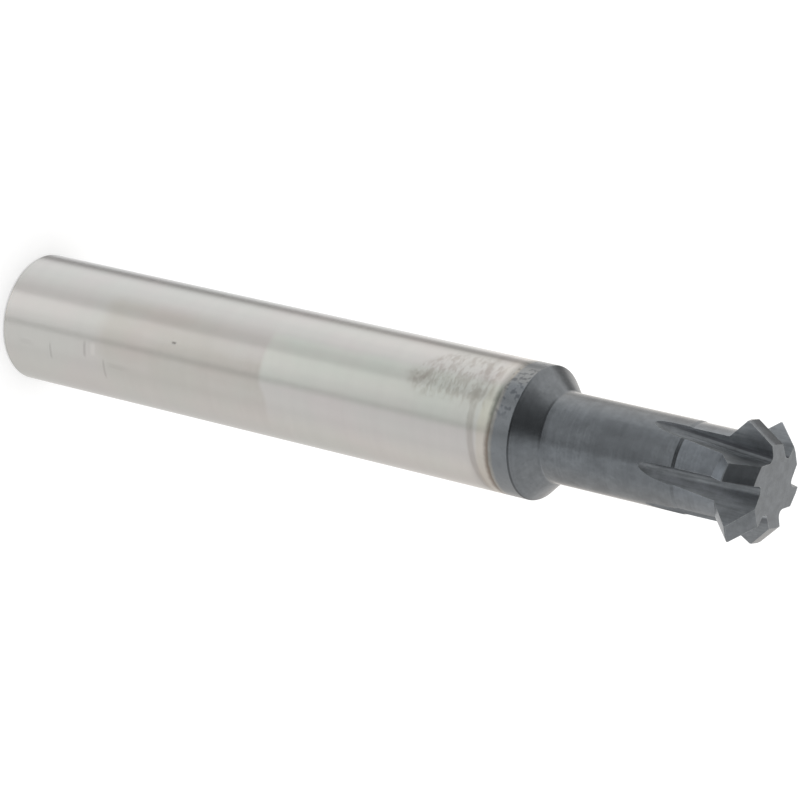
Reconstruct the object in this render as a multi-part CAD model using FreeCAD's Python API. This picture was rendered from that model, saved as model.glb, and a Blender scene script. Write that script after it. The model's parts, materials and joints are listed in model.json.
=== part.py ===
import FreeCAD, Part
import math
import os

from FreeCAD import Vector

# Double-angle cutter, ground from one carbide bar
#
# Frame: the tool stands on its rear end, origin at the centre of the rear
# face, +Z runs along the axis to the cutting end. All sizes in millimetres,
# all angles in degrees.

# Shank
shank_diameter = 9.525
overall_length = 63.5
shank_length = 45.3
rear_chamfer = 0.15

# Shoulder and neck
shoulder_angle = 45.0
neck_diameter = 6.44
neck_root_radius = 0.35
relieved_neck_diameter = 6.31
relieved_neck_length = 6.05
neck_step_length = 0.25

# Cutting head
cutter_diameter = 9.40
front_diameter = 6.24
included_angle = 90.0
crest_flat = 0.12
flank_root_radius = 0.25
tooth_count = 6
tooth_phase = 35.9
primary_land = 0.45
primary_relief = 17.0
secondary_relief = 27.0
grinding_stock = 0.08

# Flutes
flute_wall_angle = 70.0
flute_corner_radius = 0.45
flute_front_depth = 1.26
flute_slope = 6.3
flute_straight_length = 7.5
runout_radius = 5.5

# Sizes that follow from the ones above
shank_radius = shank_diameter / 2
neck_radius = neck_diameter / 2
relieved_radius = relieved_neck_diameter / 2
crest_radius = cutter_diameter / 2
front_radius = front_diameter / 2
flank_slope = math.tan(math.radians(included_angle / 2))
crest_front_z = overall_length - (crest_radius - front_radius) / flank_slope
crest_rear_z = crest_front_z - crest_flat
step_front_z = overall_length - relieved_neck_length
tooth_pitch = 360.0 / tooth_count

AXIS = Vector(0, 0, 1)
ORIGIN = Vector(0, 0, 0)


def tangent_arc(before, corner, after, radius):
    """Returns the start, middle and end of the arc that rounds a corner."""
    d1 = (before - corner).normalize()
    d2 = (after - corner).normalize()
    half = d1.getAngle(d2) / 2
    reach = radius / math.tan(half)
    start = corner + d1 * reach
    end = corner + d2 * reach
    bisector = (d1 + d2).normalize()
    centre = corner + bisector * (radius / math.sin(half))
    middle = centre - bisector * radius
    return start, middle, end


def make_bar():
    """Turned form behind the teeth: shank, shoulder and neck."""
    cone_length = (shank_radius - neck_radius) / math.tan(math.radians(shoulder_angle))
    rim = Vector(shank_radius, 0, shank_length)
    root = Vector(neck_radius, 0, shank_length + cone_length)
    step_rear = Vector(neck_radius, 0, step_front_z - neck_step_length)
    arc = tangent_arc(rim, root, step_rear, neck_root_radius)
    before = [
        Vector(0, 0, 0),
        Vector(shank_radius - rear_chamfer, 0, 0),
        Vector(shank_radius, 0, rear_chamfer),
        rim,
        arc[0],
    ]
    after = [
        arc[2],
        step_rear,
        Vector(relieved_radius, 0, step_front_z),
        Vector(relieved_radius, 0, crest_rear_z),
        Vector(0, 0, crest_rear_z),
        Vector(0, 0, 0),
    ]
    edges = Part.makePolygon(before).Edges
    edges.append(Part.Arc(*arc).toShape())
    edges.extend(Part.makePolygon(after).Edges)
    face = Part.Face(Part.Wire(edges))
    return face.revolve(ORIGIN, AXIS, 360)


def head_outline(stock):
    """Edges of the double-angle outline, rounded where its rear flank meets the neck."""
    seat = 0.99 * relieved_radius
    root_z = crest_rear_z - (crest_radius - seat) / flank_slope
    tail = Vector(seat + stock, 0, root_z - 1)
    root = Vector(seat + stock, 0, root_z)
    crest_rear = Vector(crest_radius + stock, 0, crest_rear_z)
    crest_front = Vector(crest_radius + stock, 0, crest_front_z)
    front = Vector(front_radius + stock, 0, overall_length)
    arc = tangent_arc(tail, root, crest_rear, flank_root_radius)
    edges = [Part.Arc(*arc).toShape()]
    edges.extend(Part.makePolygon([arc[2], crest_rear, crest_front, front]).Edges)
    return arc[0], edges, front


def make_head_blank():
    """Turned double cone, left oversize for the relief to be ground from."""
    start, edges, front = head_outline(grinding_stock)
    rest = [front, Vector(0, 0, overall_length), Vector(0, 0, start.z), start]
    edges.extend(Part.makePolygon(rest).Edges)
    face = Part.Face(Part.Wire(edges))
    return face.revolve(ORIGIN, AXIS, 360)


def relief_cut(shift_u, start_v, end_v, slope):
    """Stock outside the double-angle outline, carried sideways and sinking by the relief."""
    beyond = 1.0
    outer_u = 1.5 * crest_radius
    start, edges, front = head_outline(0)
    rest = [
        front,
        front + Vector(-beyond * flank_slope, 0, beyond),
        Vector(outer_u, 0, overall_length + beyond),
        Vector(outer_u, 0, start.z - beyond),
        start + Vector(0, 0, -beyond),
        start,
    ]
    edges.extend(Part.makePolygon(rest).Edges)
    face = Part.Face(Part.Wire(edges))
    face.translate(Vector(shift_u - slope * start_v, -start_v, 0))
    width = end_v - start_v
    return face.extrude(Vector(-slope * width, -width, 0))


def make_relief():
    """Ground backs of one tooth: a narrow primary land, then a steeper secondary one."""
    primary = math.tan(math.radians(primary_relief))
    secondary = math.tan(math.radians(secondary_relief))
    spare = 0.3
    heel = 0.42 * crest_radius
    first = relief_cut(0, -spare, primary_land, primary)
    shift = (secondary - primary) * primary_land
    second = relief_cut(shift, primary_land, heel, secondary)
    return first.fuse(second)


def make_flute():
    """Sloping V groove with one radial wall (the rake face) and a curved run-out."""
    slope = math.radians(flute_slope)
    wall = math.tan(math.radians(90 - flute_wall_angle))
    along = Vector(-math.sin(slope), 0, math.cos(slope))
    outward = Vector(math.cos(slope), 0, math.sin(slope))
    sideways = Vector(0, 1, 0)
    front = Vector(front_radius - flute_front_depth, 0, overall_length)
    turn = front - along * flute_straight_length
    height = crest_radius
    width = 0.9 * crest_radius

    def place(n, v):
        return turn + outward * n + sideways * v

    corner = place(0, 0)
    top_left = place(height, 0)
    top_right = place(height, width)
    wall_end = place(wall * width, width)
    arc = tangent_arc(top_left, corner, wall_end, flute_corner_radius)
    edges = [Part.Arc(*arc).toShape()]
    edges.extend(Part.makePolygon([arc[2], wall_end, top_right, top_left, arc[0]]).Edges)
    profile = Part.Face(Part.Wire(edges))
    straight = profile.extrude(along * (flute_straight_length + 2))
    centre = turn + outward * runout_radius
    runout = profile.revolve(centre, sideways, -60)
    return straight.fuse(runout)


def around(shape):
    """Returns one copy of a shape per tooth, turned to the tooth positions."""
    angles = [tooth_phase + index * tooth_pitch for index in range(tooth_count)]
    return [shape.rotated(ORIGIN, AXIS, angle) for angle in angles]


def make_cutter():
    """The whole tool: relieved head on the bar, then the flutes through both."""
    head = make_head_blank().cut(around(make_relief()))
    body = make_bar().fuse(head)
    body = body.cut(around(make_flute()))
    return body.removeSplitter()


os.makedirs("parts", exist_ok=True)
cutter = make_cutter()
if len(cutter.Solids) == 1:
    cutter = cutter.Solids[0]
cutter.exportStep("parts/double_angle_cutter.step")
print("solids", len(cutter.Solids), "valid", cutter.isValid())
print("volume", round(cutter.Volume, 2), "bounds", cutter.BoundBox)
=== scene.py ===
"""Double-angle cutter: the dressed model of one solid-carbide tool.

The tool stands on its rear end at the origin, with +Z along its axis to the
cutting end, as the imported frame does. All sizes below are in millimetres and
all angles in degrees until the finished mesh is brought to metres.
"""

import json
import logging
import math
from dataclasses import dataclass, field
from enum import Enum, IntEnum
from functools import reduce

import bmesh
import bpy
from mathutils import Matrix, Vector

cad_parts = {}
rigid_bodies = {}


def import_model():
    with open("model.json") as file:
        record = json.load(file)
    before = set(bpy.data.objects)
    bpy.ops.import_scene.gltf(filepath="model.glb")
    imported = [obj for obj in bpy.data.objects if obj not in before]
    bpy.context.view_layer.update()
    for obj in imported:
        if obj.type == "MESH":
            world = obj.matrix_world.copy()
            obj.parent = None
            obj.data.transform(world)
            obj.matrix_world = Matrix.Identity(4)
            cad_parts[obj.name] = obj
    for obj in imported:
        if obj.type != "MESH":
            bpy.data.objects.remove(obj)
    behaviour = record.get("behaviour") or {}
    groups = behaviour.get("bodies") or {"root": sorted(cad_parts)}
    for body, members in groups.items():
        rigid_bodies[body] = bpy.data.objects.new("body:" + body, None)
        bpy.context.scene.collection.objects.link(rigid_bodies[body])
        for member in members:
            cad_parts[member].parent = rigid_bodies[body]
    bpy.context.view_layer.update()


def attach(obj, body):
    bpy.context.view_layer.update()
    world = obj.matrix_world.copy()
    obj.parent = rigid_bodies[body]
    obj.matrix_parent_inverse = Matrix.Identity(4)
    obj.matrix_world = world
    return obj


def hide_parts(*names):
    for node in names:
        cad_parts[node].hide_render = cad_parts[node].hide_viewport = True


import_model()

MM = 0.001
AXIS = Vector((0.0, 0.0, 1.0))
ORIGIN = Vector((0.0, 0.0, 0.0))
NODE = "double_angle_cutter"
# Corners closer than this are one corner, after a Boolean and within a solid.
WELD, TOUCH = 0.0004, 0.0001
# Room for rounding errors where edges are picked by their place.
NEAR = 0.001

logging.basicConfig(level=logging.INFO, format="%(levelname)s %(message)s")
log = logging.getLogger("cutter")


class Cut(Enum):
    """Ways of working one solid with another."""

    ADD = "UNION"
    REMOVE = "DIFFERENCE"


class Face(IntEnum):
    """Finish that a face carries, as its place in the material list."""

    SHANK = 0
    TURNED = 1
    BACK = 2
    FLUTE = 3


class Solid:
    """A closed bmesh in millimetres, with the few moves a tool grinder makes."""

    def __init__(self) -> None:
        """Start with nothing."""
        self.bm = bmesh.new()

    def outline(self, points: list[tuple[float, float]], closed: bool) -> list:
        """Lay a profile in the XZ plane.

        Args:
            points: Radius and height of each corner.
            closed: Whether the last corner joins the first.

        Returns:
            The edges of the profile.
        """
        verts = [self.bm.verts.new((r, 0.0, z)) for r, z in points]
        pairs = list(zip(verts, verts[1:]))
        if closed:
            pairs.append((verts[-1], verts[0]))
        return [self.bm.edges.new(pair) for pair in pairs]

    def spin(self, geom: list, angle: float, steps: int, axis: Vector = AXIS,
             centre: Vector = ORIGIN, merge: bool = False, copy: bool = False) -> None:
        """Carry some of the solid round an axis.

        Args:
            geom: Corners, edges and faces to carry.
            angle: How far, in radians.
            steps: Number of stops on the way.
            axis: Direction of the axis.
            centre: A point on the axis.
            merge: Whether the end of a full turn joins its start.
            copy: Whether copies are left at the stops, in place of a skin.
        """
        bmesh.ops.spin(
            self.bm, geom=geom, axis=axis, cent=centre, dvec=ORIGIN, angle=angle,
            steps=steps, use_merge=merge, use_normal_flip=False, use_duplicate=copy,
        )

    def turn(self, steps: int) -> None:
        """Spin what is there once round the axis and close its poles.

        Args:
            steps: Number of facets round the axis.
        """
        self.spin(self.bm.verts[:] + self.bm.edges[:], math.tau, steps, merge=True)
        bmesh.ops.remove_doubles(self.bm, verts=self.bm.verts[:], dist=TOUCH)
        self.close()

    def bevel(self, geom: list, offset: float, segments: int, affect: str = "EDGES") -> None:
        """Round edges or corners.

        Args:
            geom: Edges or corners to round.
            offset: Distance from there to each side of the rounding.
            segments: Facets across the rounding.
            affect: Which of the two are given, as the operator calls them.
        """
        bmesh.ops.bevel(
            self.bm, geom=geom, offset=offset, offset_type="OFFSET", segments=segments,
            profile=0.5, affect=affect, material=-1, clamp_overlap=False,
        )

    def round_ring(self, radius: float, height: float, offset: float, segments: int) -> None:
        """Round the circular edge at one radius and height.

        Args:
            radius: Radius of the ring.
            height: Height of the ring along the axis.
            offset: Distance from the edge to each side of the rounding.
            segments: Facets across the rounding.
        """
        def on_ring(vert: bmesh.types.BMVert) -> bool:
            """Tell whether a corner lies on the ring."""
            return abs(vert.co.xy.length - radius) < NEAR and abs(vert.co.z - height) < NEAR

        ring = [e for e in self.bm.edges if on_ring(e.verts[0]) and on_ring(e.verts[1])]
        self.bevel(ring, offset, segments)

    def sweep(self, edges: list, moves: list[Vector]) -> list:
        """Carry a profile along straight steps.

        Args:
            edges: Edges of the profile.
            moves: One step after the other.

        Returns:
            The edges where the sweep ends.
        """
        for move in moves:
            made = bmesh.ops.extrude_edge_only(self.bm, edges=edges)["geom"]
            verts = [g for g in made if isinstance(g, bmesh.types.BMVert)]
            bmesh.ops.translate(self.bm, verts=verts, vec=move)
            edges = [
                g for g in made
                if isinstance(g, bmesh.types.BMEdge) and set(g.verts) <= set(verts)
            ]
        return edges

    def close(self) -> None:
        """Close every open rim and point all faces outwards."""
        rims = [e for e in self.bm.edges if e.is_boundary or e.is_wire]
        if rims:
            bmesh.ops.holes_fill(self.bm, edges=rims, sides=0)
        bmesh.ops.recalc_face_normals(self.bm, faces=self.bm.faces[:])

    def copies(self, count: int, first: float) -> None:
        """Repeat the solid evenly round the axis.

        Args:
            count: Number of solids afterwards.
            first: Angle of the first one.
        """
        bmesh.ops.rotate(
            self.bm, verts=self.bm.verts[:], cent=ORIGIN,
            matrix=Matrix.Rotation(math.radians(first), 3, "Z"),
        )
        geom = self.bm.verts[:] + self.bm.edges[:] + self.bm.faces[:]
        self.spin(geom, math.tau * (count - 1) / count, count - 1, copy=True)

    def finish(self, face: Face) -> "Solid":
        """Give all faces one finish.

        Args:
            face: The finish.

        Returns:
            This solid, changed.
        """
        for each in self.bm.faces:
            each.material_index = int(face)
        return self

    def work(self, other: "Solid", how: Cut) -> "Solid":
        """Add another solid, or take it away.

        Args:
            other: The solid to work with, used up by this.
            how: Whether it is added or removed.

        Returns:
            This solid, changed.
        """
        base, tool = self.as_object("base"), other.as_object("tool")
        step = base.modifiers.new("work", "BOOLEAN")
        step.object, step.operation, step.solver = tool, how.value, "EXACT"
        step.material_mode = "INDEX"
        graph = bpy.context.evaluated_depsgraph_get()
        made = bpy.data.meshes.new_from_object(base.evaluated_get(graph))
        self.bm.clear()
        self.bm.from_mesh(made)
        bpy.data.meshes.remove(made)
        for used in (base, tool):
            mesh = used.data
            bpy.data.objects.remove(used)
            bpy.data.meshes.remove(mesh)
        other.bm.free()
        bmesh.ops.remove_doubles(self.bm, verts=self.bm.verts[:], dist=WELD)
        bmesh.ops.dissolve_degenerate(self.bm, edges=self.bm.edges[:], dist=WELD)
        return self

    def as_object(self, name: str) -> bpy.types.Object:
        """Make a scene object with this shape and one empty slot per finish.

        Args:
            name: Name of the object and its mesh.

        Returns:
            The object.
        """
        mesh = bpy.data.meshes.new(name)
        for _ in Face:
            mesh.materials.append(None)
        self.bm.to_mesh(mesh)
        made = bpy.data.objects.new(name, mesh)
        bpy.context.scene.collection.objects.link(made)
        return made


@dataclass
class TurnedBar:
    """Shank, shoulder and neck: all that is ground round behind the teeth."""

    shank_radius: float = 4.7625
    shank_length: float = 45.3
    rear_chamfer: float = 0.15
    shoulder_angle: float = 45.0
    neck_radius: float = 3.22
    neck_root_radius: float = 0.35
    relieved_radius: float = 3.155
    step_rear_z: float = 57.2
    step_front_z: float = 57.45
    end_z: float = 61.8
    rim_break: float = 0.07
    root_facets: int = 8
    rim_facets: int = 3
    steps: int = 180

    @property
    def neck_root_z(self) -> float:
        """Height where the shoulder would meet the neck without its radius."""
        drop = self.shank_radius - self.neck_radius
        return self.shank_length + drop / math.tan(math.radians(self.shoulder_angle))

    def build(self) -> Solid:
        """Turn the bar, round the neck's root and break the shoulder's rim.

        Returns:
            The bar, with the shank's finish behind the shoulder.
        """
        solid = Solid()
        solid.outline(
            [
                (0.0, 0.0),
                (self.shank_radius - self.rear_chamfer, 0.0),
                (self.shank_radius, self.rear_chamfer),
                (self.shank_radius, self.shank_length),
                (self.neck_radius, self.neck_root_z),
                (self.neck_radius, self.step_rear_z),
                (self.relieved_radius, self.step_front_z),
                (self.relieved_radius, self.end_z),
                (0.0, self.end_z),
            ],
            closed=False,
        )
        solid.turn(self.steps)
        reach = self.neck_root_radius * math.tan(math.radians(self.shoulder_angle / 2))
        solid.round_ring(self.neck_radius, self.neck_root_z, reach, self.root_facets)
        solid.round_ring(self.shank_radius, self.shank_length, self.rim_break, self.rim_facets)
        solid.finish(Face.TURNED)
        for face in solid.bm.faces:
            if face.calc_center_median().z < self.shank_length - self.rim_break:
                face.material_index = int(Face.SHANK)
        return solid


@dataclass
class ToothedHead:
    """Double cone whose teeth get their relieved backs, before the flutes."""

    crest_radius: float = 4.70
    front_radius: float = 3.12
    front_z: float = 63.5
    crest_flat: float = 0.12
    seat_radius: float = 0.99 * 3.155
    root_radius: float = 0.25
    included_angle: float = 90.0
    primary_land: float = 0.45
    primary_relief: float = 17.0
    secondary_relief: float = 27.0
    stock: float = 0.08
    tail: float = 0.4
    spare: float = 0.3
    heel: float = 0.42 * 4.70
    outer: float = 1.5 * 4.70
    beyond: float = 1.0
    behind: float = 1.1
    teeth: int = 6
    phase: float = 35.9
    root_facets: int = 8
    steps: int = 180

    @property
    def slope(self) -> float:
        """Rise of a flank for each millimetre along the axis."""
        return math.tan(math.radians(self.included_angle / 2))

    @property
    def crest_z(self) -> float:
        """Height of the crest's front edge."""
        return self.front_z - (self.crest_radius - self.front_radius) / self.slope

    @property
    def root_z(self) -> float:
        """Height where the rear flank would meet the neck without its radius."""
        rise = self.crest_radius - self.seat_radius
        return self.crest_z - self.crest_flat - rise / self.slope

    def edge_points(self, stock: float) -> list[tuple[float, float]]:
        """List the double-angle outline from the neck to the front face.

        Args:
            stock: How much the outline is oversize.

        Returns:
            Radius and height of each corner.
        """
        return [
            (self.seat_radius + stock, self.root_z),
            (self.crest_radius + stock, self.crest_z - self.crest_flat),
            (self.crest_radius + stock, self.crest_z),
            (self.front_radius + stock, self.front_z),
        ]

    @property
    def root_reach(self) -> float:
        """Distance from the flank's root to each side of its rounding."""
        return self.root_radius * math.tan(math.radians(self.included_angle / 4))

    def blank(self) -> Solid:
        """Turn the double cone, oversize by the grinding stock.

        Returns:
            The blank.
        """
        seat = self.seat_radius + self.stock
        low = self.root_z - self.tail
        solid = Solid()
        points = [(0.0, low), (seat, low), *self.edge_points(self.stock), (0.0, self.front_z)]
        solid.outline(points, closed=False)
        solid.turn(self.steps)
        solid.round_ring(seat, self.root_z, self.root_reach, self.root_facets)
        return solid.finish(Face.TURNED)

    def relief(self) -> Solid:
        """Shape what the wheel takes off the back of one tooth, once per tooth.

        Returns:
            The shapes to take away.
        """
        primary = math.tan(math.radians(self.primary_relief))
        secondary = math.tan(math.radians(self.secondary_relief))
        points = [
            (self.seat_radius, self.root_z - self.behind),
            *self.edge_points(0.0),
            (self.front_radius - self.beyond * self.slope, self.front_z + self.beyond),
            (self.outer, self.front_z + self.beyond),
            (self.outer, self.root_z - self.behind),
        ]
        solid = Solid()
        edges = solid.outline(points, closed=True)
        bmesh.ops.translate(
            solid.bm, verts=solid.bm.verts[:], vec=(primary * self.spare, self.spare, 0.0)
        )
        width, rest = self.spare + self.primary_land, self.heel - self.primary_land
        land = Vector((-primary * width, -width, 0.0))
        solid.sweep(edges, [land, Vector((-secondary * rest, -rest, 0.0))])
        solid.close()
        roots = [
            e for e in solid.bm.edges
            if all(abs(v.co.z - self.root_z) < NEAR for v in e.verts)
            and abs(e.verts[0].co.y - e.verts[1].co.y) > NEAR
            and max(v.co.x for v in e.verts) < self.crest_radius
        ]
        solid.bevel(roots, self.root_reach, self.root_facets)
        solid.close()
        solid.copies(self.teeth, self.phase)
        return solid.finish(Face.BACK)

    def build(self) -> Solid:
        """Turn the blank and grind the backs of its teeth."""
        return self.blank().work(self.relief(), Cut.REMOVE)


@dataclass
class Flute:
    """Sloping V groove with one radial wall and a curved run-out."""

    front_radius: float = 3.12
    front_depth: float = 1.26
    front_z: float = 63.5
    wall_angle: float = 70.0
    corner_radius: float = 0.45
    slope: float = 6.3
    straight_length: float = 7.5
    runout_radius: float = 5.5
    runout_angle: float = 60.0
    height: float = 4.7
    width: float = 4.23
    beyond: float = 2.0
    count: int = 6
    phase: float = 35.9
    facets: int = 20

    def build(self) -> Solid:
        """Carry the groove's section along the flute and out of the neck.

        Returns:
            The shapes to take away, once per tooth.
        """
        slope = math.radians(self.slope)
        along = Vector((-math.sin(slope), 0.0, math.cos(slope)))
        outward = Vector((math.cos(slope), 0.0, math.sin(slope)))
        sideways = Vector((0.0, 1.0, 0.0))
        front = Vector((self.front_radius - self.front_depth, 0.0, self.front_z))
        turn = front - along * self.straight_length
        rise = math.tan(math.radians(90.0 - self.wall_angle)) * self.width
        solid = Solid()
        steps = ((0.0, 0.0), (rise, self.width), (self.height, self.width), (self.height, 0.0))
        verts = [solid.bm.verts.new(turn + outward * n + sideways * v) for n, v in steps]
        solid.bm.faces.new(verts)
        reach = self.corner_radius / math.tan(math.radians(self.wall_angle / 2))
        solid.bevel([verts[0]], reach, self.facets, "VERTICES")
        bmesh.ops.delete(solid.bm, geom=solid.bm.faces[:], context="FACES_ONLY")
        corners, section = solid.bm.verts[:], solid.bm.edges[:]
        solid.sweep(section, [along * (self.straight_length + self.beyond)])
        solid.spin(corners + section, math.radians(-self.runout_angle), self.facets,
                   sideways, turn + outward * self.runout_radius)
        bmesh.ops.remove_doubles(solid.bm, verts=solid.bm.verts[:], dist=TOUCH)
        solid.close()
        solid.copies(self.count, self.phase)
        return solid.finish(Face.FLUTE)


def grey(level: float) -> tuple:
    """Return the neutral colour of a level."""
    return (level,) * 3


class Sketch:
    """A node tree with short calls for the nodes that the materials use."""

    def __init__(self, tree: bpy.types.NodeTree) -> None:
        """Empty the tree and keep it."""
        self.tree = tree
        tree.nodes.clear()

    def put(self, value: object, socket: bpy.types.NodeSocket) -> None:
        """Link a socket, or write a plain value, into an input.

        Args:
            value: Socket, number, vector or colour.
            socket: The input.
        """
        if isinstance(value, bpy.types.NodeSocket):
            self.tree.links.new(value, socket)
        elif isinstance(value, (tuple, Vector)) and len(socket.default_value) == 4:
            socket.default_value = (*tuple(value)[:3], 1.0)
        else:
            socket.default_value = value

    def node(self, kind: str, inputs: dict | None = None, **settings: object) -> bpy.types.Node:
        """Add a node.

        Args:
            kind: Type of the node.
            inputs: Sockets or plain values, by the input's name or place.
            settings: Properties of the node.

        Returns:
            The node.
        """
        made = self.tree.nodes.new(kind)
        for name, value in settings.items():
            setattr(made, name, value)
        for place, value in (inputs or {}).items():
            self.put(value, made.inputs[place])
        return made

    def math(self, how: str, a: object, b: object = 0.0) -> object:
        """Return the result of a Math node."""
        return self.node("ShaderNodeMath", {0: a, 1: b}, operation=how).outputs[0]

    def times(self, *values: object) -> object:
        """Return the product of values."""
        return reduce(lambda a, b: self.math("MULTIPLY", a, b), values)

    def plus(self, *values: object) -> object:
        """Return the sum of values."""
        return reduce(lambda a, b: self.math("ADD", a, b), values)

    def vector(self, how: str, a: object, b: object = (0.0, 0.0, 0.0)) -> object:
        """Return the outputs of a Vector Math node."""
        return self.node("ShaderNodeVectorMath", {0: a, 1: b}, operation=how).outputs

    def split(self, vector: object) -> object:
        """Return the x, y and z of a vector."""
        return self.node("ShaderNodeSeparateXYZ", {0: vector}).outputs

    def ramp(self, value: object, low: float, high: float, to: tuple = (0.0, 1.0)) -> object:
        """Carry a value smoothly from one range to another.

        Args:
            value: Socket to read.
            low: Where the change starts, above the other for a fall.
            high: Where the change ends.
            to: Result before and after the change.

        Returns:
            The socket with the result.
        """
        first, last = reversed(to) if low > high else to
        values = {"Value": value, "From Min": min(low, high), "From Max": max(low, high),
                  "To Min": first, "To Max": last}
        made = self.node("ShaderNodeMapRange", values, interpolation_type="SMOOTHSTEP")
        return made.outputs["Result"]

    def band(self, value: object, low: float, high: float, soft: float) -> object:
        """Return 1 between two values and 0 outside, with ends as soft as given."""
        return self.times(self.ramp(value, low - soft, low + soft),
                          self.ramp(value, high + soft, high - soft))

    def blend(self, amount: object, a: object, b: object, how: str = "MIX") -> object:
        """Return a blend of two colours."""
        return self.node("ShaderNodeMix", {"Factor": amount, 6: a, 7: b},
                         data_type="RGBA", blend_type=how).outputs[2]

    def mix(self, amount: object, a: object, b: object) -> object:
        """Return a mix of two numbers."""
        return self.node("ShaderNodeMix", {"Factor": amount, 2: a, 3: b},
                         data_type="FLOAT").outputs[0]

    def show(self, kind: str, shader: bpy.types.Node) -> None:
        """Lead a shader to the tree's output."""
        self.node(kind, {"Surface": shader.outputs[0]})


class Surface(Sketch):
    """The sketch of a finish: it holds the colour that is painted layer by layer.

    Heights are in millimetres from the rear end and turns in degrees from the
    front, which is the side of the photograph.
    """

    # Turns where the marks of one side have gone, and where they are whole.
    gone, whole = 165.0, 125.0
    # Degrees in front of a tooth's wall that still count as its sector.
    lead = 4.0
    # Height of a full step of a bump, in metres.
    mark_depth = 0.00001

    def __init__(self, tree: bpy.types.NodeTree, colour: tuple) -> None:
        """Read each spot's coordinates, height and turn.

        Args:
            tree: The material's node tree.
            colour: The colour to begin with.
        """
        super().__init__(tree)
        self.colour = colour
        self.coords = self.node("ShaderNodeTexCoord").outputs["Object"]
        self.x, self.y, z = self.split(self.coords)
        turn = self.math("ARCTAN2", self.x, self.times(self.y, -1.0))
        self.turn = self.times(turn, math.degrees(1.0))
        self.height = self.times(z, 1.0 / MM)

    def tint(self, by: object, *masks: object) -> None:
        """Multiply the colour by another, everywhere or where all masks are 1.

        Args:
            by: Colour or number that it is multiplied by.
            masks: Sockets that say how much, multiplied by each other.
        """
        amount = self.times(*masks) if masks else 1.0
        self.colour = self.blend(amount, self.colour, by, "MULTIPLY")

    def side(self, low: float, high: float, to: tuple = (0.0, 1.0)) -> object:
        """Carry the turn to a range as a ramp does, and back again behind the tool.

        Args:
            low: Where the change starts.
            high: Where the change ends.
            to: Result before the change, also at the back, and after it.

        Returns:
            The socket with the result.
        """
        front = self.ramp(self.math("ABSOLUTE", self.turn), self.gone, self.whole)
        return self.mix(self.times(self.ramp(self.turn, low, high), front), *to)

    def sector(self, pitch: float, phase: float) -> tuple:
        """Return a spot's distances along and beside its tooth's wall, in millimetres.

        Args:
            pitch: Angle from tooth to tooth.
            phase: Angle of the first tooth's wall from +X.

        Returns:
            The sockets with the distance along the wall and the one beside it.
        """
        angle = self.math("ARCTAN2", self.y, self.x)
        angle = self.plus(angle, -math.radians(phase - self.lead))
        angle = self.math("FLOORED_MODULO", angle, math.radians(pitch))
        angle = self.plus(angle, -math.radians(self.lead))
        flat = self.vector("MULTIPLY", self.coords, (1.0 / MM, 1.0 / MM, 0.0))[0]
        radius = self.vector("LENGTH", flat)["Value"]
        along = self.times(radius, self.math("COSINE", angle))
        return along, self.times(radius, self.math("SINE", angle))

    def noise(self, stretch: tuple, detail: float = 2.0, rough: float = 0.5,
              coords: object = None) -> object:
        """Add noise whose grain is given per axis.

        Args:
            stretch: Grains per unit along x, y and z.
            detail: Octaves of the noise.
            rough: Weight of the finer octaves.
            coords: Coordinates to use in place of the object's own.

        Returns:
            The socket with the noise, about 0 to 1.
        """
        source = self.coords if coords is None else coords
        placed = self.node("ShaderNodeMapping", {"Vector": source, "Scale": stretch})
        values = {"Vector": placed.outputs[0], "Scale": 1.0, "Detail": detail, "Roughness": rough}
        return self.node("ShaderNodeTexNoise", values).outputs["Fac"]

    def edges(self, radius: float, low: float, high: float) -> object:
        """Return 1 along sharp edges and 0 away from them.

        Args:
            radius: Width of the worn line, in metres.
            low: Turn of the normal where wear starts, as a cosine.
            high: Turn of the normal where wear is full, as a cosine.

        Returns:
            The socket with the mask.
        """
        soft = self.node("ShaderNodeBevel", {"Radius": radius}, samples=6).outputs[0]
        flat = self.node("ShaderNodeNewGeometry").outputs["Normal"]
        return self.ramp(self.vector("DOT_PRODUCT", soft, flat)["Value"], low, high)

    def ring(self) -> object:
        """Return the direction that runs round the axis."""
        return self.vector("NORMALIZE", self.vector("CROSS_PRODUCT", self.coords, AXIS)[0])[0]

    def bump(self, height: object, strength: float) -> object:
        """Return the normal that a height of about 0 to 1 gives."""
        values = {"Strength": strength, "Distance": self.mark_depth, "Height": height}
        return self.node("ShaderNodeBump", values).outputs["Normal"]


@dataclass(frozen=True)
class Patch:
    """A soft-ended patch of the surface and what its colour is multiplied by."""

    heights: tuple
    blur: float
    turns: tuple
    feather: float
    colour: tuple

    def mask(self, sketch: Surface, height: object) -> object:
        """Return 1 on the patch and 0 off it, at the height that is given."""
        return sketch.times(sketch.band(height, *self.heights, self.blur),
                            sketch.band(sketch.turn, *self.turns, self.feather))


def scuff(z: float, width: float, start: float, end: float, shade: float) -> Patch:
    """Return a short mark round the shank, from one turn to another."""
    return Patch((z - width, z + width), max(0.09, 0.6 * width), (start, end),
                 0.15 * (end - start) + 0.7, grey(shade))


@dataclass(frozen=True)
class Tool:
    """Heights on the tool that its finishes follow, and where its teeth stand."""

    grip_z: float = 24.0
    spray_z: float = 43.62
    shoulder_z: float = 45.3
    step_z: float = 57.45
    head_z: float = 60.6
    pitch: float = 60.0
    phase: float = 35.9


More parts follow.
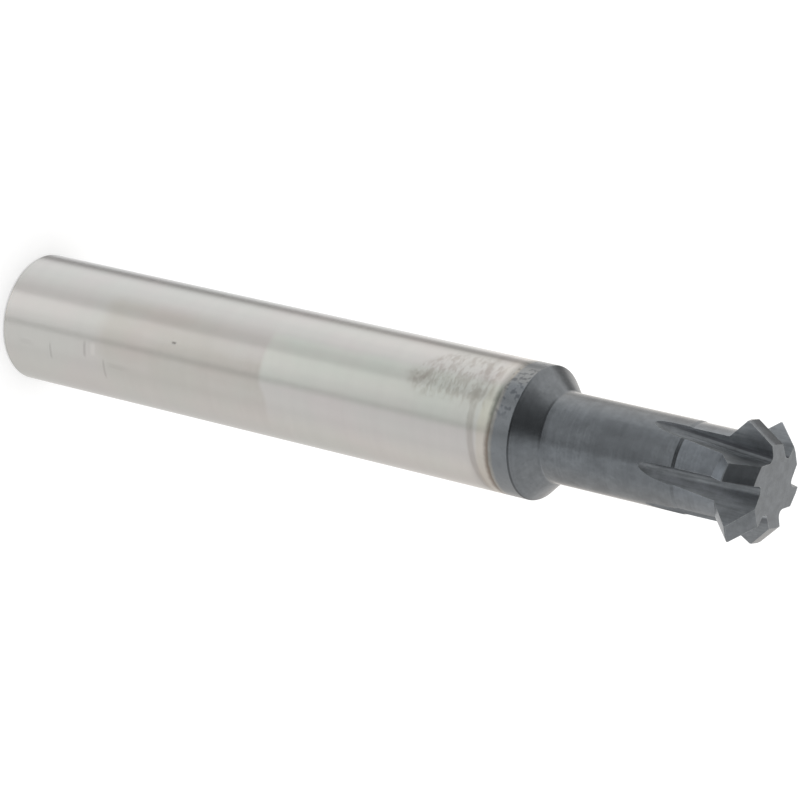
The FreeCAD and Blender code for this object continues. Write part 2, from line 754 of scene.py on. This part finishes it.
@dataclass(frozen=True)
class MetalFinish:
    """What all finishes of the tool share: bare or coated ground metal."""

    name: str
    colour: tuple
    roughness: float
    anisotropy: float
    metallic: float = 1.0
    stretch: tuple = (90.0, 90.0, 6500.0)
    tool: Tool = Tool()

    def build(self) -> bpy.types.Material:
        """Make the material, with highlights stretched square to marks round the axis.

        Returns:
            The material.
        """
        material = bpy.data.materials.new(self.name)
        material.use_nodes = True
        sketch = Surface(material.node_tree, self.colour)
        rough, normal = self.paint(sketch)
        shader = sketch.node("ShaderNodeBsdfPrincipled", {
            "Base Color": sketch.colour, "Roughness": rough, "Normal": normal,
            "Metallic": self.metallic, "Anisotropic": self.anisotropy,
            "Anisotropic Rotation": 0.25, "Tangent": sketch.ring(),
        })
        sketch.show("ShaderNodeOutputMaterial", shader)
        return material

    def paint(self, sketch: Surface) -> tuple:
        """Paint the surface, and return the sockets of its roughness and normal."""
        raise NotImplementedError


@dataclass(frozen=True)
class ShankFinish(MetalFinish):
    """Bare ground carbide, with the overspray of the coating at its front."""

    name: str = "ground_carbide"
    colour: tuple = (0.610, 0.600, 0.580)
    roughness: float = 0.23
    anisotropy: float = 0.88
    rim: tuple = grey(0.80)
    handled: tuple = (0.945, 0.925, 0.90)
    clean: tuple = (1.03, 1.02, 1.03)
    # Painted highlight: lightens a band of turns beyond the grip.
    painted_highlight: tuple = (1.02, 1.07, 1.035)
    haze: tuple = (0.80, 0.775, 0.76)
    dull_and_shade: tuple = (0.81, 0.795, 0.78)
    dim: tuple = (0.86, 0.86, 0.865)
    # Painted reflection: a dark reflected line along the top, towards the coating.
    line: tuple = grey(0.69)
    pink: tuple = (1.009, 0.993, 0.997)
    green: tuple = (0.991, 1.003, 0.996)
    beige: tuple = (1.01, 0.985, 0.93)
    coat: tuple = (0.230, 0.246, 0.261)
    deep: tuple = (0.60, 0.61, 0.63)
    # Painted highlight on the coating over a band of turns.
    coat_highlight: tuple = (1.24, 1.19, 1.13)
    film: tuple = (1.40, 1.30, 1.17)
    straw: tuple = (0.130, 0.095, 0.070)
    moss: tuple = (0.080, 0.092, 0.080)
    coat_roughness: float = 0.26
    # Heights and turns between which a mark begins, ends or lies.
    held_z: tuple = (8.3, 10.4)
    held_left: tuple = (-42.0, -24.0)
    held_right: tuple = (66.0, 12.0)
    wiped_right: tuple = (56.0, 28.0)
    painted_highlight_turns: tuple = (-32.0, 11.0)
    # Turns and heights of the painted dark reflected line.
    reflection_turns: tuple = (-73.5, -63.5)
    reflection_z: tuple = (27.0, 43.0)
    patch_z: tuple = (35.5, 36.7)
    patch_end_z: tuple = (43.5, 42.6)
    patch_turns: tuple = (-58.0, -10.0)
    patch_middle: float = -25.0
    ring_z: float = 42.4
    ring_lean: float = 0.6
    ring_width: float = 0.24
    ring_turn: float = 35.0
    dim_z: tuple = (41.7, 42.4)
    dim_turns: tuple = (24.0, 52.0)
    beige_z: tuple = (42.5, 42.9)
    coat_highlight_turns: tuple = (-60.0, -38.0)
    blot: Patch = Patch((36.4, 37.9), 0.7, (-31.0, -19.0), 6.0, haze)
    scuffs: tuple = (
        scuff(4.65, 0.09, 23.0, 37.0, 0.86),
        scuff(7.95, 0.12, 14.0, 27.0, 0.84),
        scuff(8.75, 0.22, 14.0, 24.0, 1.07),
        scuff(9.70, 0.10, 27.0, 44.0, 0.86),
        scuff(2.30, 0.60, 24.0, 29.0, 0.955),
        scuff(11.0, 0.90, 28.0, 33.0, 0.95),
        scuff(16.05, 0.17, -4.0, -2.2, 0.46),
    )

    def paint(self, sketch: Surface) -> tuple:
        """Paint grinding marks, handling marks, painted highlights, a painted dark reflected line
        and the edge of the coating.

        Args:
            sketch: The surface to paint.

        Returns:
            The roughness and normal sockets.
        """
        marks = sketch.noise(self.stretch, 3.0, 0.6)
        broad = sketch.noise((60.0, 60.0, 900.0))
        hues = sketch.ramp(sketch.noise((260.0, 260.0, 200.0)), 0.35, 0.65)
        smudge = sketch.noise((420.0, 420.0, 170.0), 3.0, 0.6)
        sketch.tint(sketch.plus(sketch.times(broad, 0.05), sketch.times(marks, 0.05), 0.95))
        sketch.tint(sketch.blend(hues, self.pink, self.green))
        sketch.tint(self.green, sketch.ramp(sketch.height, 0.7, 0.2))
        sketch.tint(self.rim, sketch.ramp(sketch.height, 0.30, 0.05))
        self.handling_and_painted_light(sketch, smudge)
        self.fog(sketch, smudge)
        near = self.ragged(sketch, smudge, 0.3)
        for mark in self.scuffs:
            sketch.tint(mark.colour, mark.mask(sketch, near))
        coated = self.spray(sketch, smudge)
        rough = sketch.plus(sketch.times(marks, 0.06), self.roughness - 0.03)
        rough = sketch.mix(coated, rough, self.coat_roughness)
        return rough, sketch.bump(marks, 0.2)

    def ragged(self, sketch: Surface, smudge: object, reach: float) -> object:
        """Return the height, shifted to and fro by the smudges so that borders wander."""
        return sketch.plus(sketch.height, sketch.times(sketch.plus(smudge, -0.5), 0.5, reach))

    def handling_and_painted_light(self, sketch: Surface, smudge: object) -> None:
        """Warm the part that hands and holders hold, clean the part beyond, and paint a highlight
        on a band beyond it and a dark reflected line towards the coating.

        Args:
            sketch: The surface to paint.
            smudge: Noise of the size of fingermarks.
        """
        height, turn, front = sketch.height, sketch.turn, self.tool.grip_z
        upper = sketch.side(2.0, -12.0)
        slant = sketch.side(10.0, 30.0, (0.0, 0.6))
        border = sketch.math("SUBTRACT", self.ragged(sketch, smudge, 0.7), slant)
        beyond = sketch.ramp(border, front - 0.25, front + 0.3)
        fade = sketch.times(upper, sketch.ramp(height, front - 8.5, front - 0.5))
        sketch.tint(self.handled, sketch.ramp(self.ragged(sketch, smudge, 1.6), *self.held_z),
                    sketch.ramp(border, front + 0.3, front - 0.25),
                    sketch.ramp(turn, *self.held_left), sketch.ramp(turn, *self.held_right),
                    sketch.ramp(smudge, 0.25, 0.6, (0.7, 1.1)), sketch.mix(fade, 1.0, 0.25))
        sketch.tint(self.clean, beyond, sketch.side(*self.wiped_right), sketch.mix(upper, 1.0, 0.2))
        # Painted highlight on a band of turns beyond the grip.
        sketch.tint(self.painted_highlight, beyond, sketch.band(turn, *self.painted_highlight_turns, 5.0))
        # Painted reflection: a dark line along the top, towards the coating.
        sketch.tint(self.line, sketch.band(turn, *self.reflection_turns, 3.5),
                    sketch.ramp(height, *self.reflection_z))

    def fog(self, sketch: Surface, smudge: object) -> None:
        """Dull a mottled patch, and a tilted ring behind the coating.

        Args:
            sketch: The surface to paint.
            smudge: Noise of the size of fingermarks.
        """
        height, turn = sketch.height, sketch.turn
        unrolled = sketch.node("ShaderNodeCombineXYZ",
                               {"X": sketch.times(turn, 0.11), "Z": height})
        mottle = sketch.noise((0.75, 1.0, 2.1), 3.0, 0.6, unrolled.outputs[0])
        away = sketch.math("ABSOLUTE", sketch.plus(turn, -self.patch_middle))
        near = sketch.plus(self.ragged(sketch, smudge, 1.6), sketch.times(away, -0.07))
        sketch.tint(self.haze, sketch.ramp(near, *self.patch_z),
                    sketch.ramp(height, *self.patch_end_z),
                    sketch.band(turn, *self.patch_turns, 8.0),
                    sketch.ramp(mottle, 0.40, 0.64, (0.1, 1.25)))
        sketch.tint(self.blot.colour, self.blot.mask(sketch, height),
                    sketch.ramp(mottle, 0.25, 0.6, (0.35, 1.0)))
        near = self.ragged(sketch, smudge, 0.4)
        lean = sketch.times(sketch.plus(turn, -self.ring_turn), math.radians(1.0))
        lean = sketch.times(sketch.math("SINE", lean), self.ring_lean)
        drift = sketch.math("SUBTRACT", near, sketch.plus(lean, self.ring_z))
        sketch.tint(self.dull_and_shade, sketch.band(drift, -self.ring_width, self.ring_width, 0.18),
                    sketch.side(-40.0, 10.0, (0.4, 1.0)), sketch.ramp(smudge, 0.3, 0.6, (0.8, 1.2)))
        sketch.tint(self.dim, sketch.ramp(near, *self.dim_z), sketch.side(*self.dim_turns))
        sketch.tint(self.beige, sketch.ramp(near, *self.beige_z),
                    sketch.side(-40.0, 0.0, (0.3, 1.0)))

    def spray(self, sketch: Surface, smudge: object) -> object:
        """Lay the coating's overspray on the front, behind a narrow rust-coloured line.

        Args:
            sketch: The surface to paint.
            smudge: Noise of the size of fingermarks.

        Returns:
            The socket with 1 where the coating lies.
        """
        start = self.tool.spray_z
        grain = sketch.noise((2600.0, 2600.0, 2600.0), 2.0, 0.6)
        near = sketch.plus(
            self.ragged(sketch, smudge, 0.2), sketch.times(sketch.plus(grain, -0.5), 0.15),
            sketch.side(5.0, 22.0, (0.0, 0.08)), sketch.side(-20.0, -40.0, (0.0, 0.06)),
        )
        line = sketch.times(
            sketch.ramp(near, start - 0.34, start + 0.12),
            sketch.ramp(near, start + 0.39, start + 0.21),
            sketch.side(-20.0, -40.0, (0.78, 0.35)),
        )
        rust = sketch.blend(sketch.side(-8.0, 14.0), self.moss, self.straw)
        bare, sketch.colour = sketch.blend(line, sketch.colour, rust), self.coat
        self.speckle_and_highlight(sketch)
        sketch.tint(self.film, sketch.ramp(near, start + 0.52, start + 0.28))
        coated = sketch.ramp(near, start + 0.08, start + 0.24)
        sketch.colour = sketch.blend(coated, bare, sketch.colour)
        return coated

    def speckle_and_highlight(self, sketch: Surface) -> None:
        """Speckle the coating on the shank's upper side, and lighten it over a band of turns with a
        painted highlight.

        Args:
            sketch: The surface to paint.
        """
        cloud = sketch.noise((700.0, 700.0, 500.0))
        spots = sketch.noise((2700.0, 2700.0, 2700.0), 1.0)
        spots = sketch.plus(spots, sketch.times(cloud, 0.4))
        sketch.tint(sketch.ramp(cloud, 0.3, 0.7, (0.94, 1.06)))
        sketch.tint(self.deep, sketch.ramp(spots, 0.70, 0.88), sketch.side(4.0, -18.0, (0.15, 1.0)))
        # Painted highlight on the coating over a band of turns.
        sketch.tint(self.coat_highlight, sketch.band(sketch.turn, *self.coat_highlight_turns, 4.0))


@dataclass(frozen=True)
class CoatedFinish(MetalFinish):
    """Dark satin wear coating over ground surfaces."""

    colour: tuple = (0.186, 0.201, 0.216)
    roughness: float = 0.22
    metallic: float = 0.9
    anisotropy: float = 0.0
    strip: tuple = grey(1.0)
    streaks: float = 0.045
    worn: tuple = (0.42, 0.44, 0.45)
    wear: float = 0.7
    worn_width: float = 0.0001
    worn_turn: tuple = (0.985, 0.86)
    uneven: float = 4.0

    def paint(self, sketch: Surface) -> tuple:
        """Paint a soft mottle, the grinding marks and the wear along the edges.

        Args:
            sketch: The surface to paint.

        Returns:
            The roughness and normal sockets.
        """
        step = self.tool.step_z
        marks = sketch.noise(self.stretch, 3.0, 0.6)
        cloud = sketch.noise((1100.0, 1100.0, 900.0), 4.0, 0.72)
        grain = sketch.noise((4200.0, 4200.0, 4200.0), 2.0, 0.6)
        ground = (1.0 - self.streaks, 1.0 + self.streaks)
        sketch.tint(sketch.times(
            sketch.ramp(cloud, 0.25, 0.75, (0.85, 1.15)),
            sketch.ramp(grain, 0.2, 0.8, (0.97, 1.03)), sketch.ramp(marks, 0.3, 0.7, ground),
        ))
        sketch.tint(self.strip, sketch.band(sketch.height, step, self.tool.head_z, 0.02))
        edge = sketch.times(
            sketch.edges(self.worn_width, *self.worn_turn),
            sketch.ramp(sketch.height, step + 0.3, step + 0.5),
            sketch.ramp(cloud, 0.3, 0.6, (0.4, 1.0)), self.wear,
        )
        sketch.colour = sketch.blend(edge, sketch.colour, self.worn)
        self.detail(sketch, cloud)
        rough = sketch.plus(sketch.times(marks, 0.10), self.roughness - 0.05)
        relief = sketch.plus(marks, sketch.times(cloud, self.uneven))
        return rough, sketch.bump(relief, 0.25)

    def detail(self, sketch: Surface, cloud: object) -> None:
        """Add what only one kind of coated surface has."""
        raise NotImplementedError


@dataclass(frozen=True)
class TurnedFinish(CoatedFinish):
    """The coating on the shoulder, the neck and the turned blank of the head."""

    name: str = "dark_coating"
    anisotropy: float = 0.5
    strip: tuple = (1.17, 1.18, 1.20)
    rim: tuple = grey(0.55)
    # Painted shade in the fillet at the neck's root and just above it.
    root: tuple = grey(0.80)
    root_z: tuple = (46.8, 46.95, 47.6)
    root_turns: tuple = (-36.0, 9.0)
    # Painted shade on the neck's step and just in front of it.
    step: tuple = grey(0.885)
    step_turns: tuple = (28.0, 60.0)
    neck_patches: tuple = (
        Patch((51.2, 55.2), 0.7, (-37.0, 9.0), 4.0, grey(0.885)),
        Patch((47.6, 50.6), 0.6, (12.0, 33.0), 4.0, grey(1.10)),
    )

    def detail(self, sketch: Surface, cloud: object) -> None:
        """Darken the shoulder's rim, paint shade in the neck's root and on its step, and darken and
        lighten two patches of the neck.

        Args:
            sketch: The surface to paint.
            cloud: Noise that mottles the coating.
        """
        height, rim, step = sketch.height, self.tool.shoulder_z, self.tool.step_z
        sketch.tint(self.rim, sketch.band(height, rim - 0.08, rim + 0.06, 0.02),
                    sketch.side(-14.0, 6.0))
        soft = sketch.ramp(cloud, 0.3, 0.6, (0.6, 1.2))
        for patch in self.neck_patches:
            sketch.tint(patch.colour, patch.mask(sketch, height), soft)
        # Painted shade in the fillet at the neck's root, over a band of turns.
        low, full, high = self.root_z
        sketch.tint(self.root, sketch.ramp(height, low, full), sketch.ramp(height, high, full),
                    sketch.band(sketch.turn, *self.root_turns, 6.0))
        # Painted shade on the neck's step, over a band of turns.
        sketch.tint(self.step, sketch.ramp(height, step - 0.29, step - 0.17),
                    sketch.ramp(height, step + 0.85, step + 0.1),
                    sketch.band(sketch.turn, *self.step_turns, 5.0))


@dataclass(frozen=True)
class BackFinish(CoatedFinish):
    """The same coating on the ground backs of the teeth."""

    name: str = "dark_coating_backs"
    stretch: tuple = (900.0, 900.0, 5200.0)
    # Painted highlight on the land of the upper tooth.
    land: tuple = grey(1.2)
    land_aside: tuple = (0.0, -0.06)
    land_turns: tuple = (-66.0, -48.0)

    def detail(self, sketch: Surface, cloud: object) -> None:
        """Lighten the narrow land behind the edge of the upper tooth, as a painted highlight.

        Args:
            sketch: The surface to paint.
            cloud: Noise that mottles the coating, not used here.
        """
        aside = sketch.sector(self.tool.pitch, self.tool.phase)[1]
        # Painted highlight on the backs of the teeth in one band of turns.
        sketch.tint(self.land, sketch.ramp(aside, *self.land_aside),
                    sketch.band(sketch.turn, *self.land_turns, 3.0))


@dataclass(frozen=True)
class FluteFinish(CoatedFinish):
    """The same coating, rougher, where the wheel ran along the tool."""

    name: str = "dark_coating_flutes"
    colour: tuple = (0.226, 0.241, 0.256)
    roughness: float = 0.50
    metallic: float = 0.85
    stretch: tuple = (3600.0, 3600.0, 110.0)
    streaks: float = 0.16
    uneven: float = 0.0
    # Painted shade and painted highlights on the flute walls and floors, below.
    root: tuple = (0.46, 0.46, 0.48)
    corner_highlight: tuple = grey(1.5)
    floor: tuple = (0.72, 0.73, 0.74)
    lane: tuple = (0.82, 0.82, 0.83)
    bed: tuple = grey(1.6)
    # Painted shade near the floor and painted highlight towards the crest, on the rake faces.
    crest: tuple = (0.88, 1.5)
    # Painted shade on the front of the upper rake faces.
    dull_and_shade: tuple = (0.82, 0.82, 0.83)
    # Turns, and distances beside the wall, between which a mark begins or lies.
    rake_shade_turns: tuple = (-90.0, -80.0)
    root_aside: tuple = (0.022, 0.13)
    floor_aside: tuple = (0.55, 0.75)
    lane_aside: tuple = (0.68, 1.15)
    bed_aside: tuple = (0.44, 0.88)
    corner_highlight_aside: tuple = (0.42, 0.60)
    wall_aside: tuple = (0.06, 0.01)

    def detail(self, sketch: Surface, cloud: object) -> None:
        """Paint shade along the root of the wall, on the lower flutes' floors and in a lane,
        painted highlights on the upper flutes' floors and along the corner, and on the rake faces
        painted shade near the floor and painted highlight to their crests.

        Args:
            sketch: The surface to paint.
            cloud: Noise that mottles the coating, not used here.
        """
        height, head = sketch.height, self.tool.head_z
        reach, aside = sketch.sector(self.tool.pitch, self.tool.phase)
        upper = sketch.side(-8.0, -26.0)
        lower = sketch.math("SUBTRACT", 1.0, upper)
        # Painted shade along the root of the wall in the upper flutes.
        sketch.tint(self.root, sketch.band(aside, *self.root_aside, 0.022),
                    sketch.ramp(height, 54.0, 58.5), sketch.side(-10.0, -34.0))
        # Painted shade on the floor of the lower flutes, towards the front and the axis.
        sketch.tint(self.floor, sketch.ramp(aside, *self.floor_aside),
                    sketch.ramp(height, 60.0, 61.5), sketch.ramp(reach, 2.7, 1.6), lower)
        # Painted shade in a lane along the lower flutes.
        sketch.tint(self.lane, sketch.band(aside, *self.lane_aside, 0.12),
                    sketch.ramp(height, 55.0, 57.0), lower)
        # Painted highlight on the floor of the upper flutes.
        sketch.tint(self.bed, sketch.band(aside, *self.bed_aside, 0.09),
                    sketch.ramp(height, 55.0, 56.5), sketch.ramp(height, 62.6, 61.0, (0.2, 1.0)),
                    upper)
        # Painted highlight along the end of the corner's rounding.
        sketch.tint(self.corner_highlight, sketch.band(aside, *self.corner_highlight_aside, 0.08),
                    sketch.ramp(height, 56.0, 59.0))
        rake = sketch.times(sketch.ramp(aside, *self.wall_aside),
                            sketch.ramp(height, head - 0.4, head))
        # Painted shade on the front of the upper rake faces.
        sketch.tint(self.dull_and_shade, rake, upper, sketch.ramp(sketch.turn, *self.rake_shade_turns),
                    sketch.ramp(height, 61.0, 62.6))
        # Painted shade near the floor and painted highlight towards the crest, on the rake faces.
        sketch.tint(sketch.mix(rake, 1.0, sketch.ramp(reach, 2.5, 4.5, self.crest)))


@dataclass
class DoubleAngleCutter:
    """The whole tool: relieved head on the bar, then the flutes through both."""

    bar: TurnedBar = field(default_factory=TurnedBar)
    head: ToothedHead = field(default_factory=ToothedHead)
    flute: Flute = field(default_factory=Flute)
    shank: ShankFinish = ShankFinish()
    turned: TurnedFinish = TurnedFinish()
    back: BackFinish = BackFinish()
    fluted: FluteFinish = FluteFinish()
    crease: float = 8.0

    def shape(self) -> Solid:
        """Grind the solid in the order in which the real tool is ground.

        Returns:
            The solid.
        """
        bar = self.bar.build()
        log.info("bar: %d faces", len(bar.bm.faces))
        head = self.head.build()
        log.info("head: %d faces", len(head.bm.faces))
        body = bar.work(head, Cut.ADD)
        body = body.work(self.flute.build(), Cut.REMOVE)
        log.info("fluted body: %d faces", len(body.bm.faces))
        return body

    def build(self) -> bpy.types.Object:
        """Make the tool's object, dress it and let it ride on the frame.

        Returns:
            The dressed object.
        """
        solid = self.shape()
        bmesh.ops.scale(solid.bm, verts=solid.bm.verts[:], vec=(MM, MM, MM))
        piece = solid.as_object("cutter")
        solid.bm.free()
        mesh = piece.data
        for index, finish in enumerate((self.shank, self.turned, self.back, self.fluted)):
            mesh.materials[index] = finish.build()
        for polygon in mesh.polygons:
            polygon.use_smooth = True
        mesh.set_sharp_from_angle(angle=math.radians(self.crease))
        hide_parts(NODE)
        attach(piece, "root")
        return piece


@dataclass
class PhotoCamera:
    """Camera at the photograph's place, from the fit to its outlines."""

    place: tuple = (0.0, -0.2121256, 0.1708484)
    right: tuple = (-0.226696, 0.530615, 0.816735)
    back: tuple = (-0.000232, -0.838596, 0.544753)
    lens: float = 160.788
    sensor: float = 36.0
    nearest: float = 0.01
    farthest: float = 20.0

    def build(self) -> bpy.types.Object:
        """Make the camera and give it to the scene.

        Returns:
            The camera's object.
        """
        data = bpy.data.cameras.new("photo_camera")
        data.lens, data.sensor_width, data.sensor_fit = self.lens, self.sensor, "AUTO"
        data.clip_start, data.clip_end = self.nearest, self.farthest
        made = bpy.data.objects.new("photo_camera", data)
        back, right = Vector(self.back).normalized(), Vector(self.right)
        right = (right - back * right.dot(back)).normalized()
        up = back.cross(right)
        turn = Matrix((right, up, back)).transposed().to_4x4()
        made.matrix_world = Matrix.Translation(Vector(self.place)) @ turn
        bpy.context.scene.collection.objects.link(made)
        bpy.context.scene.camera = made
        return made


@dataclass(frozen=True)
class CardRing:
    """Pale cards round the tool at one height, as metal mirrors them.

    Each stop is an azimuth from the camera's side towards +X, and how bright
    the cards are there. Warmth is given at the left, in front and at the right,
    and the sides take theirs between one and two times the azimuth called wing.
    """

    stops: tuple
    warmth: tuple
    wing: float = 50.0

    def build(self, sketch: Sketch, place: object) -> object:
        """Make the ring's colours.

        Args:
            sketch: The world's node tree.
            place: Socket with the place round the ring, from 0 to 1.

        Returns:
            The socket with the colour.
        """
        made = sketch.node("ShaderNodeValToRGB", {"Fac": place})
        ramp = made.color_ramp
        ramp.interpolation = "EASE"
        while len(ramp.elements) < len(self.stops):
            ramp.elements.new(0.5)
        left, centre, right = self.warmth
        for stop, (angle, level) in zip(ramp.elements, self.stops):
            away = min(max(abs(angle) / self.wing - 1.0, 0.0), 1.0)
            warm = centre + away * ((right if angle > 0.0 else left) - centre)
            stop.position = (angle + 180.0) / 360.0
            stop.color = (level * (1.0 + warm), level, level * (1.0 - warm), 1.0)
        return made.outputs["Color"]


@dataclass
class Studio:
    """Pale floor, soft overhead lamp and the pale surround that metal shows."""

    floor_side: float = 4.0
    floor_colour: tuple = grey(0.8)
    floor_glow: float = 0.30
    lamp_height: float = 0.9
    lamp_side: float = 0.9
    lamp_level: float = 1.2
    fill_level: float = 0.8
    low: CardRing = CardRing((
        (-180, 0.95), (-160, 1.10), (-150, 0.76), (-143, 0.41), (-136, 0.20), (-130, 0.32),
        (-123, 0.85), (-116, 1.06), (-92, 1.02), (-74, 1.01), (-60, 0.93), (-48, 0.85),
        (-39, 0.89), (-30, 1.12), (-12, 1.07), (2, 0.99), (12, 0.98), (17, 0.82), (21, 0.79),
        (28, 0.98), (48, 0.94), (72, 0.83), (130, 0.75), (144, 0.75), (180, 0.95),
    ), warmth=(-0.022, 0.008, 0.012))
    level: CardRing = CardRing((
        (-180, 1.45), (-166, 1.38), (-155, 1.10), (-145, 0.95), (-132, 0.85), (-120, 1.10),
        (-96, 1.11), (-78, 0.85), (-62, 0.42), (-48, 0.27), (-38, 0.25), (-28, 0.40),
        (-14, 0.40), (2, 0.28), (16, 0.19), (22, 0.29), (32, 0.56), (60, 0.70), (104, 0.73),
        (130, 0.69), (154, 0.82), (168, 1.20), (180, 1.45),
    ), warmth=(0.05, -0.008, 0.055))
    middle: CardRing = CardRing((
        (-180, 0.74), (-150, 0.86), (-120, 0.98), (-84, 0.98), (-58, 1.10), (-42, 1.00),
        (-32, 0.60), (-24, 0.54), (-14, 0.48), (0, 0.50), (14, 0.54), (28, 0.60), (40, 0.62),
        (62, 0.70), (76, 0.92), (90, 1.10), (130, 0.86), (155, 0.69), (180, 0.74),
    ), warmth=(0.03, -0.006, 0.04))
    high: CardRing = CardRing((
        (-180, 0.92), (-158, 0.60), (-148, 0.34), (-140, 0.34), (-131, 0.95), (-110, 0.99),
        (-92, 0.83), (-74, 0.36), (-56, 0.18), (-40, 0.11), (-10, 0.07), (10, 0.09),
        (30, 0.42), (46, 0.71), (70, 0.73), (95, 0.83), (112, 0.80), (135, 0.80), (158, 0.82),
        (180, 0.92),
    ), warmth=(0.03, 0.0, 0.03))
    joins: tuple = ((-0.53, -0.50), (-0.46, -0.39), (-0.28, -0.04))
    front_light: tuple = (-0.10, -0.361, -0.927)
    front_spread: tuple = (20.0, 11.0)
    front_level: float = 2.4

    def build(self) -> None:
        """Set up the floor, the lamp, the surround and the view."""
        self.build_floor()
        self.build_lamp()
        self.build_surround()
        bpy.context.scene.view_settings.view_transform = "Standard"

    def build_floor(self) -> None:
        """Lay the pale floor that the tool stands on."""
        bm = bmesh.new()
        bmesh.ops.create_grid(bm, x_segments=1, y_segments=1, size=self.floor_side / 2)
        mesh = bpy.data.meshes.new("floor")
        bm.to_mesh(mesh)
        bm.free()
        floor = bpy.data.objects.new("floor", mesh)
        bpy.context.scene.collection.objects.link(floor)
        material = bpy.data.materials.new("pale_floor")
        material.use_nodes = True
        sketch = Sketch(material.node_tree)
        paint = sketch.node("ShaderNodeBsdfDiffuse", {"Color": self.floor_colour})
        strength = self.seen(sketch, self.floor_glow, 0.0)
        glow = sketch.node("ShaderNodeEmission", {"Color": grey(1.0), "Strength": strength})
        both = sketch.node("ShaderNodeAddShader", {0: paint.outputs[0], 1: glow.outputs[0]})
        sketch.show("ShaderNodeOutputMaterial", both)
        mesh.materials.append(material)
        floor.visible_glossy = False

    def seen(self, sketch: Sketch, shown: object, other: object) -> object:
        """Tell rays that show the background from the rest.

        Args:
            sketch: The node tree.
            shown: Value for rays that show the background.
            other: Value for the rest.

        Returns:
            The socket with the value.
        """
        path = sketch.node("ShaderNodeLightPath").outputs
        rays = sketch.math("MAXIMUM", path["Is Camera Ray"], path["Is Glossy Ray"])
        rays = sketch.math("MAXIMUM", rays, path["Is Transmission Ray"])
        return sketch.mix(rays, other, shown)

    def build_lamp(self) -> None:
        """Hang one broad soft lamp over the tool."""
        data = bpy.data.lights.new("soft_lamp", "AREA")
        data.shape, data.size = "SQUARE", self.lamp_side
        data.energy = self.lamp_level * math.pi * self.lamp_side ** 2
        lamp = bpy.data.objects.new("soft_lamp", data)
        lamp.location = (0.0, 0.0, self.lamp_height)
        lamp.visible_glossy = False
        bpy.context.scene.collection.objects.link(lamp)

    def build_surround(self) -> None:
        """Make the world: white behind the tool, soft pale cards in its reflections."""
        world = bpy.data.worlds.new("surround")
        bpy.context.scene.world = world
        world.use_nodes = True
        world.cycles.sampling_method = "NONE"
        sketch = Sketch(world.node_tree)
        ray = sketch.node("ShaderNodeTexCoord").outputs["Generated"]
        x, y, height = sketch.split(ray)
        azimuth = sketch.math("ARCTAN2", x, sketch.times(y, -1.0))
        place = sketch.plus(sketch.math("DIVIDE", azimuth, math.tau), 0.5)
        rings = (self.low, self.level, self.middle, self.high)
        cards, *above = [ring.build(sketch, place) for ring in rings]
        for ring, (start, end) in zip(above, self.joins):
            cards = sketch.blend(sketch.ramp(height, start, end), cards, ring)
        front = sketch.vector("DOT_PRODUCT", ray, Vector(self.front_light).normalized())
        spread = [math.cos(math.radians(angle)) for angle in self.front_spread]
        near = sketch.ramp(front["Value"], *spread)
        cards = sketch.blend(near, cards, grey(self.front_level))

        glossy = sketch.node("ShaderNodeLightPath").outputs["Is Glossy Ray"]
        shade = sketch.node("ShaderNodeBackground", {
            "Color": sketch.blend(glossy, grey(1.0), cards),
            "Strength": self.seen(sketch, 1.0, self.fill_level),
        })
        sketch.show("ShaderNodeOutputWorld", shade)


def main() -> None:
    """Build the tool, the studio and the camera, and report each piece."""
    cutter = DoubleAngleCutter().build()
    log.info("%s: %d faces", cutter.name, len(cutter.data.polygons))
    Studio().build()
    log.info("studio: floor, lamp and surround")
    PhotoCamera().build()
    log.info("camera: photograph's place")


if __name__ == "__main__":
    main()
